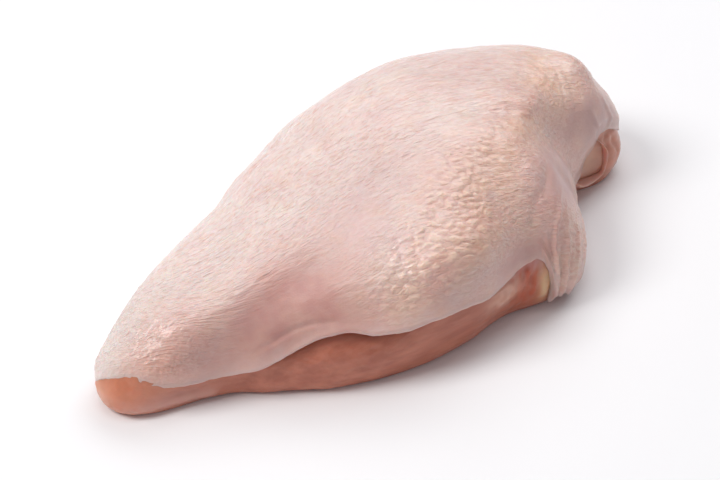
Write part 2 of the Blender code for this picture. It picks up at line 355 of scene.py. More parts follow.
def smoothed(values, reach):
    """Values round the outline, each replaced by a soft mean of its neighbours."""
    offsets = np.arange(-3 * reach, 3 * reach + 1)
    weights = np.exp(-((offsets / reach) ** 2))
    weights /= weights.sum()
    return sum(w * np.roll(values, o) for w, o in zip(weights, offsets))


# The rows run to a smoother line than the hem, and bend to the hem itself only near the end.
EASY_LENGTH = smoothed(HEM_LENGTH, SOFTENING)
print("hem height from", HEM.min().round(1), "to", HEM.max().round(1), "mm")


# %% [markdown]
# Rows of points become a skin of faces. Near the crown the rows are short, so they need fewer points
# than the rows at the hem: where the count doubles or halves, three triangles bridge each gap instead
# of two quads. That keeps the faces of even size and their number down.

# %% Join rows into a closed mesh
def bridge(upper, lower, start_upper, start_lower):
    """Faces between two rows of vertices, whose counts are equal or differ by a factor of two."""
    k = np.arange(min(upper, lower))
    after = (k + 1) % len(k)
    if upper == lower:
        quads = (start_upper + k, start_lower + k, start_lower + after, start_upper + after)
        return np.stack(quads, 1).tolist()
    double = 2 * k
    middle = double + 1
    end = (double + 2) % (2 * len(k))
    a, b = start_upper, start_lower
    if lower > upper:
        corners = (
            (a + k, b + double, b + middle),
            (a + k, b + middle, a + after),
            (a + after, b + middle, b + end),
        )
    else:
        corners = (
            (a + double, b + k, a + middle),
            (a + middle, b + k, b + after),
            (a + middle, b + after, a + end),
        )
    return np.concatenate([np.stack(c, 1) for c in corners]).tolist()


def chain_mesh(name, first, rows, last):
    """A closed mesh from a first point, over the rows, to a last point. Sizes go in as millimetres."""
    points = np.concatenate([[first], *rows, [last]]) * MM
    starts = np.concatenate([[1], 1 + np.cumsum([len(row) for row in rows])])
    count = len(rows[0])
    faces = [(0, 1 + k, 1 + (k + 1) % count) for k in range(count)]
    for i in range(len(rows) - 1):
        faces += bridge(len(rows[i]), len(rows[i + 1]), int(starts[i]), int(starts[i + 1]))
    end, count = int(starts[-1]), len(rows[-1])
    begin = end - count
    faces += [(end, begin + (k + 1) % count, begin + k) for k in range(count)]
    mesh = bpy.data.meshes.new(name)
    mesh.from_pydata(points.tolist(), [], faces)
    mesh.polygons.foreach_set("use_smooth", np.ones(len(mesh.polygons), dtype=bool))
    mesh.update()
    piece = bpy.data.objects.new(name, mesh)
    bpy.context.scene.collection.objects.link(piece)
    return piece


def vertex_table(source, what):
    values = np.empty(len(source) * 3, dtype=np.float32)
    source.foreach_get(what, values)
    return values.reshape(-1, 3).astype(float)


def triangles_in(piece):
    return sum(len(face.vertices) - 2 for face in piece.data.polygons)


# %% [markdown]
# Several fields say where each kind of texture lies. A patch is a soft blob round a point, and noise
# makes it ragged. The noise functions that come with Blender are read point by point.

# %% Patches and noise
def ease(value, low, high):
    """Runs smoothly from 0 at low to 1 at high."""
    t = np.clip((value - low) / (high - low), 0.0, 1.0)
    return t * t * (3 - 2 * t)


def cloud(points, size, seed):
    """Smooth noise of about -1 to 1, with lumps of the given size. Each seed gives another cloud."""
    where = points / size + seed * 17.31
    return np.array([noise.noise(p) for p in where.tolist()]) * 1.6


def stretch(points, direction, across, lengthwise):
    """Coordinates in which a lump is one unit wide across the direction and one unit long on it."""
    direction = np.array(direction, dtype=float)
    direction /= np.linalg.norm(direction)
    run = points @ direction
    return points / across - np.outer(run, direction) * (1 / across - 1 / lengthwise)


def pillows(where):
    """Little cushions with creases between them: 1 on a cushion's top and 0 in a crease."""
    found = [noise.voronoi(p)[0] for p in where.tolist()]
    near = np.array([f[0] for f in found])
    second = np.array([f[1] for f in found])
    return ease(second - near, 0.0, 0.42) * (1 - 0.45 * ease(near, 0.1, 0.8))


# %% [markdown]
# The skin is loose over the side of the shoulder, and gathered into long folds that run from the neck
# down to a tongue of skin in front. Each fold or crease is drawn as a line of a few points on the
# surface, with a width and a height. Points of the mesh near the line are raised or lowered. A fold
# begins softly, grows over its first half, and may fade again near its foot.

# %% Folds and creases
FOLD_LINES = (
    # points from top to foot, half width, height, how much of it is there at the top and at the foot
    (((38.9, -31.3, 30.7), (32.7, -36.8, 29.2), (26.8, -41.1, 25.7), (23.6, -43.3, 20.8),
      (22.8, -45.5, 13), (22.4, -45.8, 7.7), (22.3, -46, 2)), 0.65, 0.9, 0.0, 1),
    (((37.7, -34.8, 28), (33.1, -39.1, 26.2), (30, -42.5, 22.7), (28, -44.5, 18.9), (26.1, -45.6, 15),
      (25.6, -46.4, 9.8), (25.6, -46.5, 3)), 0.6, 0.8, 0.0, 1),
    (((40.6, -35.8, 23.6), (34.4, -42.1, 20.1), (30.7, -45.8, 13.4), (29.4, -46.5, 7.7), (29.2, -46.5, 2)),
      0.7, 0.8, 0.0, 1),
    (((46, -33, 19), (41.3, -38.9, 15.8), (35.7, -44.2, 10.2), (33, -45.6, 5)), 1.3, 0.8, 0.1, 1),
    (((25, -38.8, 29), (22, -41.8, 23.5), (20.8, -43.8, 17.7), (21.4, -44.8, 13), (21.6, -45.2, 6)),
      0.7, 0.7, 0.0, 1),
    (((27.5, -42.1, 24), (24.9, -45, 16.7), (24, -46.2, 8.7), (24, -46.2, 2)), 0.5, -0.7, 0.1, 1),
    (((32, -42, 22.5), (28.4, -45.8, 14), (27.5, -46.4, 7), (27.4, -46.5, 2)), 0.5, -0.7, 0.1, 1),
    (((36.4, -27.5, 35.3), (30.6, -33.8, 33.3), (26, -37.5, 30.5), (22, -40, 27)), 1.6, -0.25, 0.3, 0.2),
    (((47.1, -21.4, 33.3), (42.1, -24.5, 34), (35.6, -28.7, 35), (28.2, -34.3, 33.5), (24.4, -35.6, 32.7),
      (19.5, -38.3, 28.6), (15, -40.5, 22.5)), 1.6, -0.5, 0.4, 0.3),
    (((70.4, 4.9, 39.6), (68.3, -2.2, 40), (65.6, -7.9, 38), (61.8, -12.6, 35.2), (56.8, -15.9, 30.7)),
      0.45, -0.18, 0.2, 0.1),
    (((72.2, 1.6, 39.7), (69.8, -5.2, 39.4), (67.4, -10.5, 36.4), (64.5, -14.5, 33.1),
      (60.7, -16.9, 27.5)), 0.45, -0.15, 0.2, 0.1),
    (((-64.8, -8.5, 13.6), (-60.6, -11.3, 15.6), (-55.7, -14.3, 17.7), (-50.4, -16.2, 20.4),
      (-45.8, -19, 21.7), (-40.9, -23.1, 22)), 0.8, -0.45, 0.3, 0.5),
    (((66, -2, 38.5), (58, -6, 39.5), (49.4, -10.3, 40.4), (43, -14, 40.5), (36.6, -17.9, 40.4),
      (24, -22, 42)), 3.2, 0.7, 0.3, 0.2),
    (((76.9, -13.2, 32.1), (77.3, -16.4, 27.5), (78.1, -18.2, 22.5), (77, -19.4, 19.1)),
      0.7, 0.6, 0.2, 0.8),
    (((68.1, -13.7, 34), (69.1, -16.7, 30.4), (70.4, -18.5, 25.6), (72.3, -19.4, 21.4)),
      0.7, 0.35, 0.2, 0.6),
    (((3.5, 34, 36), (-1.1, 35.8, 33), (-11.5, 32.3, 32.3), (-18.6, 30.7, 31.8), (-23.9, 29.9, 30.6),
      (-34, 26, 28)), 1.3, -0.7, 0.3, 0.3),
)
LINE_STEP = 1.5
BEGINS_OVER = 0.12
GROWS_OVER = 0.6
FADES_FROM = 0.7


def laid_on(line, surface):
    """The line cut into short steps, each end moved to the nearest point of the surface."""
    line = np.array(line, dtype=float)
    ends = []
    for a, b in zip(line[:-1], line[1:]):
        count = max(1, round(float(np.linalg.norm(b - a)) / LINE_STEP))
        ends += [a + (b - a) * k / count for k in range(count)]
    ends.append(line[-1])
    surface = surface.reshape(-1, 3)
    return np.array([surface[np.argmin(np.sum((surface - end) ** 2, axis=1))] for end in ends])


def line_lift(points, line, width, height, start, end):
    """How far one fold lifts each point."""
    spans = line[1:] - line[:-1]
    line, spans = line[:-1][np.any(spans, axis=1)], spans[np.any(spans, axis=1)]
    runs = np.linalg.norm(spans, axis=1)
    nearest = np.full(points.shape[:-1], 1e9)
    place = np.zeros(points.shape[:-1])
    for k in range(len(spans)):
        t = np.clip((points - line[k]) @ spans[k] / runs[k] ** 2, 0, 1)
        gap = np.linalg.norm(points - line[k] - t[..., None] * spans[k], axis=-1)
        closer = gap < nearest
        nearest = np.where(closer, gap, nearest)
        place = np.where(closer, (runs[:k].sum() + t * runs[k]) / runs.sum(), place)
    strength = (start + (1 - start) * ease(place, 0.0, GROWS_OVER)) * ease(place, 0.0, BEGINS_OVER)
    strength *= 1 - (1 - end) * ease(place, FADES_FROM, 1.0)
    return height * strength * np.exp(-((nearest / width) ** 2))


def lift_along(points, lines):
    return sum(line_lift(points, laid_on(line, points), *sizes) for line, *sizes in lines)


print("fold lines:", len(FOLD_LINES))


# %% [markdown]
# The skin is one sheet with two faces. It could be a surface with a Solidify modifier, but then its
# cut edge would be square. Here the rows run down the outer face, round the hem in a half circle, and
# back up the inner face, so the edge is round like that of real skin, with a thin bead where it has
# curled. The inner face is hidden and gets few points. Toward some stretches of the hem the skin is
# thinner, by the share in the list.

# %% Build the skin's sheet
# What share of its full thickness the skin keeps at the hem, by compass angle.
EDGE_SHARE = (
    (0, 0.4), (40, 0.6), (150, 0.6), (168, 0.3), (181, 0.3), (188, 0.6), (200, 0.9), (268, 0.9),
    (278, 0.55), (284, 0.35), (292, 0.8), (325, 0.8), (336, 0.5), (343, 0.25), (350, 0.25),
)
OUTER_ROWS = 150
BENDS_TO_HEM_FROM = 0.6
THINS_OVER = 6
BEAD_HEIGHT, BEAD_WIDTH = 0.3, 1.2
EDGE_SINK = 0.5
ROLL_STEPS = 5
INNER_ROWS = 24


def stride(row_share):
    """A row keeps every first, second, fourth or eighth point, by how far out from the crown it is."""
    return 8 if row_share < 0.12 else 4 if row_share < 0.24 else 2 if row_share < 0.5 else 1


def build_skin():
    shares = np.arange(1, OUTER_ROWS + 1) / OUTER_ROWS
    bend = ease(shares, BENDS_TO_HEM_FROM, 1)[:, None]
    lengths = shares[:, None] * EASY_LENGTH + bend * (HEM_LENGTH - EASY_LENGTH)
    base, normals = rows_at(lengths)
    to_hem = HEM_LENGTH[None, :] - lengths
    thin = 1 - (1 - around(EDGE_SHARE, ANGLES)[None, :]) * (1 - ease(to_hem, 0, THINS_OVER))
    bead = BEAD_HEIGHT * np.exp(-((to_hem / BEAD_WIDTH) ** 2)) * thin
    folds = lift_along(base + normals * (SKIN_GAP + SKIN_THICKNESS), FOLD_LINES)
    folds *= 1 - 0.5 * (1 - ease(to_hem, 0, 2))
    outer = base + normals * ((SKIN_GAP + SKIN_THICKNESS) * thin + bead + folds)[..., None]
    inner = base + normals * ((SKIN_GAP + EDGE_SINK) * thin - EDGE_SINK + folds)[..., None]
    rows = [outer[i][:: stride(shares[i])] for i in range(OUTER_ROWS)]
    middle = (outer[-1] + inner[-1]) / 2
    half = (outer[-1] - inner[-1]) / 2
    down = base[-1] - base[-2]
    down *= np.linalg.norm(half, axis=1, keepdims=True) / np.linalg.norm(down, axis=1, keepdims=True)
    for step in range(1, ROLL_STEPS):
        turn = math.pi * step / ROLL_STEPS
        rows.append(middle + half * math.cos(turn) + down * math.sin(turn))
    outer_count = 1 + sum(len(row) for row in rows)
    inner_rows = np.linspace(OUTER_ROWS - 1, 3, INNER_ROWS).astype(int)
    for i, step in zip(inner_rows, (1, 2, 4, *[8] * INNER_ROWS)):
        rows.append(inner[i][::step])
    top = np.array([CROWN[0], CROWN[1], along(BACK_HEIGHT, CROWN[0])])
    over = np.array([0, 0, SKIN_GAP + SKIN_THICKNESS])
    piece = chain_mesh("skin_sheet", top + over, rows, top + over * SKIN_GAP / over[2])
    return piece, outer_count


skin, SKIN_OUTER = build_skin()
print("skin triangles:", triangles_in(skin), "outer points:", SKIN_OUTER)

# %% [markdown]
# Chicken skin isn't evenly bumpy. Over the fat of the bulging side it swells into little pillows
# round each feather root, which lean along the slope. The thin skin of the back is smooth but for
# fine wrinkles along the breast. At the tip it is pebbled, and near the hem it is stretched smooth.
# These spots say where each kind lies.

# %% Spots on the skin
# Each spot is (strength, centre, reach by axis).
VEIL_SPOTS = (
    (1.1, (72, -19, 25), (13, 8, 12)),
    (0.3, (57, -21, 30), (9, 7, 7)),
    (1.0, (40, -31, 28), (14, 7, 10)),
    (0.3, (47, -27, 29), (9, 7, 9)),
)
# Painted shade: the first two spots darken the back's shallow valley and its crown, where the back turns
# from the light; the third darkens the near wall just above the hem.
DIMMING_SPOTS = (
    (0.42, (-8, -6, 38), (27, 14, 9)),
    (0.2, (35, 8, 44), (22, 14, 8)),
    (0.35, (-8, -41, 25), (16, 7, 7)),
)
FAT_SPOTS = (
    (1.0, (57, -5, 40), (8, 5, 5)),
    (0.9, (67, 1, 40), (7, 9, 6)),
    (0.8, (62, -12, 35), (8, 6, 6)),
    (0.8, (46, -18, 38), (8, 5, 5)),
    (1.0, (38, -17, 41), (9, 5, 5)),
    (1.0, (22, -23, 42), (9, 6, 5)),
    (1.0, (9, -30, 39), (9, 6, 6)),
    (1.0, (-2, -37, 33), (9, 6, 6)),
)
PILLOW_SPOTS = (
    (1.2, (-22, -33, 27), (11, 8, 9)),
    (1.2, (-9, -31, 36), (12, 9, 9)),
    (1.1, (1, -25, 40), (10, 9, 7)),
    (0.7, (14, -16, 43.5), (13, 9, 6)),
)
# Painted shade and blush: the near flank is painted darker and pinker, partly a pinker tone of its own and
# partly the shade of a side turned from the light. The last spot reddens the skin over the arch.
BLUSH_AND_SHADE_SPOTS = (
    (1.1, (-43, -14, 26), (15, 10, 10)),
    (0.85, (-57, -11, 20), (12, 8, 9)),
    (0.4, (-69, -4, 15), (9, 8, 7)),
    (0.5, (-39, -24, 21), (12, 7, 6)),
    (0.35, (24, -38, 25), (10, 10, 8)),
    (0.4, (37, -33, 30), (8, 6, 7)),
    (0.9, (14, -42, 22), (10, 7, 4)),
)
# Painted sheen: these spots paint a white sheen on the tip and high on the far side.
PAINTED_SHEEN_SPOTS = (
    (1.0, (-84, 18, 17), (15, 9, 12)),
    (0.45, (-52, 26, 28), (30, 11, 14)),
)
print("spots of fat:", len(FAT_SPOTS), "of pillows:", len(PILLOW_SPOTS), "of blush:", len(BLUSH_AND_SHADE_SPOTS))

# %% [markdown]
# A field holds one number for each point of the mesh. Kinds of texture that can't share a place are
# taken from each other: no pillows grow on the smooth spot, and no wrinkles where the pillows are.

# %% Fields of the skin
skin_points = vertex_table(skin.data.vertices, "co") / MM
skin_normals = vertex_table(skin.data.vertex_normals, "vector")
skin_is_outer = np.arange(len(skin_points)) < SKIN_OUTER
skin_angle = compass(skin_points[:, 0], skin_points[:, 1])
above_hem = skin_points[:, 2] - around(HEM_HEIGHT, skin_angle)

near_hem = 1 - ease(above_hem, 1.5, 8.0)
smooth_spot = patch(skin_points, (-20, -12, 35), (13, 9, 9))
neck_veil = np.clip(patches(skin_points, VEIL_SPOTS), 0, 1)
ridge_fat = patches(skin_points, FAT_SPOTS)
# Blush of the near flank, partly its own pinker tone and partly painted shade.
blush_and_shade = np.clip(patches(skin_points, BLUSH_AND_SHADE_SPOTS), 0, 1)
tip_field = patch(skin_points, (-80, 5, 17), (17, 16, 14)) * (1 - 0.3 * near_hem)

pillow_field = patches(skin_points, PILLOW_SPOTS) + 0.3 * ridge_fat
pillow_field = np.clip(pillow_field * (0.95 + 0.75 * cloud(skin_points, 6, 1)), 0, 1)
pillow_field *= (1 - 0.85 * near_hem) * (1 - smooth_spot) * (1 - 0.9 * neck_veil)

wrinkle_field = 1 - pillow_field - 0.7 * smooth_spot - 0.6 * near_hem - neck_veil - 0.9 * blush_and_shade
wrinkle_field = np.clip(wrinkle_field, 0.1, 1)
print("pillows cover", round(float(pillow_field[skin_is_outer].mean()), 2), "of the skin")

# %% [markdown]
# The relief is moved into the mesh itself, so that it shows from every side. Pillows come from a
# pattern of cells round scattered points, and the rest comes from noise, stretched along the grain.
# Smaller pillows pebble the tip and a patch high on the shoulder.

# %% Sculpt the skin
# Each is (width across the grain, length along it, height).
PILLOW = (2.3, 2.9, 0.48)
SMALL_PILLOW = (1.15, 1.5, 0.17)
PILLOW_CREASE = (3.6, 7.0, 0.19)
WRINKLE = (1.4, 6.0, 0.16)
LUMP_SIZE, LUMP_HEIGHT = 14.0, 0.45
SHOULDER_FILL = 1.6


def along_the_grain(points):
    """Coordinates whose first axis follows the skin's wrinkles, which swing round with the shoulder."""
    x, y, z = points.T
    past_tip = np.minimum(x + 48, 0)
    return np.stack([x, y + 0.28 * x + 0.001 * x**2 - 0.006 * x * y - 0.02 * past_tip**2, z], axis=1)


def lengthened(points, across, lengthwise):
    return points / np.array([lengthwise, across, across])


warped = skin_points + 0.9 * np.stack([cloud(skin_points, 5, seed) for seed in (2, 3, 4)], axis=1)
grain_points = along_the_grain(warped)
pillow_height = pillows(lengthened(grain_points, *PILLOW[:2]))
pebble_height = pillows(lengthened(grain_points, *SMALL_PILLOW[:2]))
crease_height = ease(np.abs(cloud(lengthened(grain_points, *PILLOW_CREASE[:2]), 1, 21)), 0, 0.3)
wrinkle_height = cloud(lengthened(grain_points, *WRINKLE[:2]), 1, 5)
pebbled = 1.5 * tip_field + 0.3 * pillow_field + 0.7 * patch(skin_points, (66, 3, 39), (10, 10, 8))
relief = (
    PILLOW[2] * pillow_field * (pillow_height - 0.5)
    + PILLOW_CREASE[2] * (pillow_field + 0.25 * wrinkle_field) * (crease_height - 0.8)
    + SMALL_PILLOW[2] * np.clip(pebbled + 0.12, 0, 1.5) * (pebble_height - 0.5)
    + WRINKLE[2] * wrinkle_field * wrinkle_height
    + LUMP_HEIGHT * cloud(skin_points, LUMP_SIZE, 6) * ease(above_hem, 0, 10)
    + SHOULDER_FILL * patch(skin_points, (47.5, -13, 39), (10, 6, 6))
)
relief[~skin_is_outer] = 0
skin.data.vertices.foreach_set("co", ((skin_points + skin_normals * relief[:, None]) * MM).ravel())
skin.data.update()
print("skin relief from", relief.min().round(2), "to", relief.max().round(2), "mm")


# %% [markdown]
# The materials read these fields from the mesh, as named attributes on its points. That way colour
# and shape agree: a crease is both lower and painted darker and pinker as shade, a crest is painted
# lighter as a highlight, and the thin hem is both smooth and milky.

# %% Store fields on the mesh
def store(piece, name, values):
    layer = piece.data.attributes.new(name, "FLOAT", "POINT")
    layer.data.foreach_set("value", np.clip(values, 0, 1).astype(np.float32))


def store_places(piece, name, places):
    layer = piece.data.attributes.new(name, "FLOAT_VECTOR", "POINT")
    layer.data.foreach_set("vector", places.astype(np.float32).ravel())


# Painted light: skin that faces this way, up and toward the key lamp, is painted paler, as its lit side.
PAINTED_LIGHT_SIDE = (-0.36, 0.45, 0.82)

# Painted shade and highlight: the creases between pillows and pebbles are painted darker and pinker, and the
# pillows' tops paler, partly the fat's own cream.
crease_shade_amount = 0.6 * (1 - pillow_height) + 0.5 * (1 - crease_height) + 0.3 * (1 - pebble_height)
store(skin, "crease_shade", crease_shade_amount * pillow_field + 0.5 * (1 - pebble_height) * tip_field)
store(skin, "blush_and_shade", blush_and_shade * (0.88 + 0.14 * cloud(skin_points, 9, 7) + 0.1 * cloud(skin_points, 2.5, 17)))
hem_band = 0.5 * (1 - ease(above_hem, 0.6, 4.5)) * (0.75 + 0.5 * cloud(skin_points, 4, 8))
hem_edge = (1 - ease(above_hem, 0.3, 1.2)) * (1 - patch(skin_points, (14, -42, 20), (9, 7, 5)))
store(skin, "hem", hem_band + hem_edge)
store(skin, "wrinkle", wrinkle_field)
store(skin, "pillow", pillow_field)
store(skin, "crest_highlight", pillow_field * pillow_height)
store(skin, "tip", patch(skin_points, (-80, 4, 15), (13, 11, 10)))
store_places(skin, "grain", along_the_grain(skin_points))
# The veil field holds the greyish film over the neck side, and painted shade from the dimming spots.
cloudy_veil = neck_veil * (0.9 + 0.5 * cloud(skin_points, 5, 14))
store(skin, "veil_and_shade", cloudy_veil + patches(skin_points, DIMMING_SPOTS))
# Painted sheen, white, on the tip and the far side.
store(skin, "painted_sheen", patches(skin_points, PAINTED_SHEEN_SPOTS))
store(skin, "ridge_fat", ridge_fat * (0.7 + 0.6 * cloud(skin_points, 4, 9)))
# Painted light: paler colour where the skin faces the key lamp, and on the tip's top.
facing = skin_normals @ np.array(PAINTED_LIGHT_SIDE)
painted_light = ease(facing, 0.35, 1.0) * (1 - blush_and_shade) + 0.9 * patch(skin_points, (-84, 17, 17), (13, 8, 11))
store(skin, "painted_light", painted_light)
print("attributes:", len(skin.data.attributes))

# %% [markdown]
# The flesh shows below the hem, at the tip and at the neck. It is built like the skin, as rows from
# the crown to the table, with a flat underside. The rows under the skin are hidden and sparse, and
# those on the bare wall are close together, because the muscle's grain is sculpted there.

# %% Build the flesh
HIDDEN_ROWS = 10
WALL_ROWS = 58
WALL_START = 9.0
FLOOR_SHARES = (0.985, 0.96, 0.92, 0.86, 0.78, 0.68, 0.56, 0.43, 0.3, 0.16)


def build_flesh():
    wall_start = EASY_LENGTH - WALL_START
    wall_length = LENGTHS[:, -1] - wall_start
    hidden, _ = rows_at(np.outer(np.arange(1, HIDDEN_ROWS + 1) / HIDDEN_ROWS, wall_start))
    wall, _ = rows_at(wall_start + np.outer(np.arange(1, WALL_ROWS + 1) / WALL_ROWS, wall_length))
    rows = [row[::8] for row in hidden[:-2]] + [hidden[-2][::4], hidden[-1][::2]] + list(wall)
    middle = np.array([CROWN[0], CROWN[1], 0.0])
    for share, step in zip(FLOOR_SHARES, (1, 2, 4, 4, 8, 8, 8, 8, 8, 8)):
        rows.append((middle + (wall[-1] - middle) * share)[::step])
    top = np.array([CROWN[0], CROWN[1], along(BACK_HEIGHT, CROWN[0])])
    return chain_mesh("flesh_muscle", top, rows, middle)


flesh = build_flesh()
print("flesh triangles:", triangles_in(flesh))

# %% [markdown]
# The muscle is smooth and wet, with a faint grain along its length. Just under the hem it is drawn in,
# so the skin stands proud of it. At the tip its lower edge is rolled into a pale rim that ends in a
# step. In front of the shoulder there is a dark red strip of another muscle, partly under a film, with
# a little yellow fat beside it.

# %% Fields of the flesh
flesh_points = vertex_table(flesh.data.vertices, "co") / MM
flesh_normals = vertex_table(flesh.data.vertex_normals, "vector")
flesh_angle = compass(flesh_points[:, 0], flesh_points[:, 1])
below_hem = around(HEM_HEIGHT, flesh_angle) - flesh_points[:, 2]
on_wall = ease(flesh_points[:, 2], 0.0, 1.5) * ease(below_hem, -7, -3)
long_hem = ease(flesh_angle, 190, 200) * (1 - ease(flesh_angle, 274, 280))
at_tip = ease(flesh_angle, 168, 173) * (1 - ease(flesh_angle, 186, 194))

LILAC_SPOTS = (
    (1.0, (9, -40, 19), (6, 5, 4)),
    (1.0, (18, -42, 18), (5, 5, 3.5)),
    (0.5, (-80, 0, 4.5), (14, 9, 3.5)),
)
# Peach tone at the tip and the shoulder; the strongest spot is painted light, brightening the inside of the
# neck hollow.
PEACH_AND_LIGHT_SPOTS = (
    (0.9, (-95, 13, 8), (4, 6, 8)),
    (0.3, (82, -18, 12), (10, 8, 10)),
    (1.3, (69, -18, 12), (5, 6, 7)),
)
# Orange of the tip; the second spot is painted shade, a darker orange in the corner of the neck hollow.
ORANGE_AND_SHADE_SPOTS = (
    (1.0, (-86, 4, 7), (17, 14, 9)),
    (1.0, (66, -18, 7.5), (3.2, 5, 3.5)),
)
dark_strip = np.clip(1.6 * patch(flesh_points, (15.5, -42, 11.5), (5.5, 6, 5.5)), 0, 1)
film = np.clip(1.6 * patch(flesh_points, (6.5, -41, 12.5), (5.5, 5, 3.4)), 0, 1)
fat = np.clip(1.4 * patch(flesh_points, (20.6, -45, 9.5), (1.9, 4, 6)), 0, 1)
membrane_streaks = ease(cloud(stretch(flesh_points, (0.2, 0, 1), 1.1, 5), 1, 31), 0.1, 0.7)
membrane_streaks *= patch(flesh_points, (80, -20, 14), (7, 5, 8))
rim_run = ease(-flesh_points[:, 0], 66.5, 69.5) * ease(-flesh_points[:, 1], -9, -3)
tip_rim = rim_run * np.exp(-(((flesh_points[:, 2] - 3.4) / 1.7) ** 2))
print("points on the bare wall:", int((on_wall > 0.5).sum()))

# %% [markdown]
# The flesh's relief is added up and moved into the mesh like the skin's. The lobe in front of the
# neck hollow has two folds of its own. The underside stays flat but for a few shallow waves, because
# a soft muscle doesn't touch the table everywhere.

# %% Sculpt the flesh
GRAIN_WIDTH, GRAIN_LENGTH, GRAIN_HEIGHT = 1.3, 11.0, 0.10
LOBE_FOLDS = (
    # points from top to foot, half width, height, how much of it is there at the top and at the foot
    (((77.1, -19.5, 18.8), (76, -19.9, 16.5), (76.6, -20.2, 13.6), (76.3, -20.4, 9.9), (75.6, -20.6, 6.8)),
     0.8, -0.9, 0.5, 0.3),
    (((80, -19.6, 16.9), (79.1, -20.1, 14.7), (81.6, -20.3, 9.8), (80.2, -20.6, 7.9)), 0.7, -0.5, 0.5, 0.3),
)
LOBE_SWELLS = (
    (-0.7, (69.5, -18, 11), (4.5, 5, 5.5)),
    (0.7, (81, -20, 12), (4.5, 4, 7)),
)
HEM_BANDS = (
    # height, how far below the hem, width, where
    (-0.9, 0, 1.6, long_hem),
    (0.5, 7, 3.5, long_hem),
    (0.4, 0, 2.5, at_tip),
)
FLESH_LUMP_SIZE, FLESH_LUMP_HEIGHT = 11, 0.45
WAVE_SIZE, WAVE_HEIGHT, TALLEST_WAVE = 13, 0.9, 0.7
TIP_RIM_HEIGHT = 0.7
FILM_HEIGHT = 0.6
TUCKED_IN = 3.0

strip_waves = cloud(stretch(flesh_points, (0.3, 0.2, 1), 1.5, 4), 1, 13)
flesh_relief = on_wall * (
    GRAIN_HEIGHT * cloud(stretch(flesh_points, (1, 0.1, 0), GRAIN_WIDTH, GRAIN_LENGTH), 1, 11)
    + FLESH_LUMP_HEIGHT * cloud(flesh_points, FLESH_LUMP_SIZE, 12)
    + sum(h * where * np.exp(-(((below_hem - down) / wide) ** 2)) for h, down, wide, where in HEM_BANDS)
    + TIP_RIM_HEIGHT * tip_rim
    + lift_along(flesh_points, LOBE_FOLDS)
    + patches(flesh_points, LOBE_SWELLS)
    + dark_strip * (0.55 * strip_waves - 0.2)
    + film * FILM_HEIGHT
    + fat * (0.6 + 0.3 * cloud(flesh_points, 1.6, 14))
)
floor_points = flesh_points[:, 2] < 0.01
flesh_relief[floor_points] = 0
from_crown = np.hypot(flesh_points[:, 0] - CROWN[0], flesh_points[:, 1] - CROWN[1])
underside = floor_points & (from_crown < outline_radius(flesh_angle) * 0.9)
moved = flesh_points + flesh_normals * flesh_relief[:, None]
moved[:, 1] += TUCKED_IN * patch(flesh_points, (65, -18, 1), (7, 7, 7))
waves = WAVE_HEIGHT * cloud(flesh_points[underside], WAVE_SIZE, 15)
moved[underside, 2] = np.clip(waves, 0, TALLEST_WAVE)
flesh.data.vertices.foreach_set("co", (moved * MM).ravel())
flesh.data.update()
print("flesh relief from", flesh_relief.min().round(2), "to", flesh_relief.max().round(2), "mm")

# %% [markdown]
# Like the skin's, the flesh's fields are stored for its colours. The red strip and the film over it
# are broken up by fine noise, so their edges aren't drawn too cleanly.

# %% Store fields on the flesh
strip_fibres = cloud(stretch(flesh_points, (0.3, 0.2, 1), 1.2, 4), 1, 16)
store(flesh, "dark_strip", dark_strip * (0.8 + 0.5 * strip_fibres))
store(flesh, "film", film * (0.85 + 0.4 * cloud(flesh_points, 1.8, 18)))
store(flesh, "lilac", patches(flesh_points, LILAC_SPOTS))
store(flesh, "peach_and_light", patches(flesh_points, PEACH_AND_LIGHT_SPOTS))
store(flesh, "fat", fat)
store(flesh, "tip", patches(flesh_points, ORANGE_AND_SHADE_SPOTS))
store(flesh, "rim", tip_rim + 0.9 * membrane_streaks)
print("attributes:", len(flesh.data.attributes))

# %% [markdown]
# At the neck a fold of membrane curls out round the hollow. It is a thin strip, swept along a path of
# a few given points in front of the wall. The nearest point of the finished wall is the root of each
# of its sections, so the strip always reaches the flesh.

# %% Sweep the neck membrane
RIM_PATH = (
    (71.6, -21.5, 18.2), (74.6, -20.8, 13.6), (75.3, -20.2, 9.2), (74.6, -19.8, 5.9), (71.2, -19.6, 4.4),
    (67.6, -19.5, 4.4), (64.6, -19.4, 5.9), (63.2, -19.5, 8.0),
)
RIM_POINTS = 64
SECTION_POINTS = 16
RIM_WANDER = 0.25
RIM_THIN, RIM_THICKER = 0.32, 0.4


def smooth_path(points, count):
    """Points spread evenly in number along a soft curve through the given ones."""
    knots = np.arange(len(points), dtype=float)
    where = np.linspace(0, len(points) - 1, count)
    return np.stack([cubic(knots, np.array(points, dtype=float)[:, k], where) for k in range(3)], axis=1)


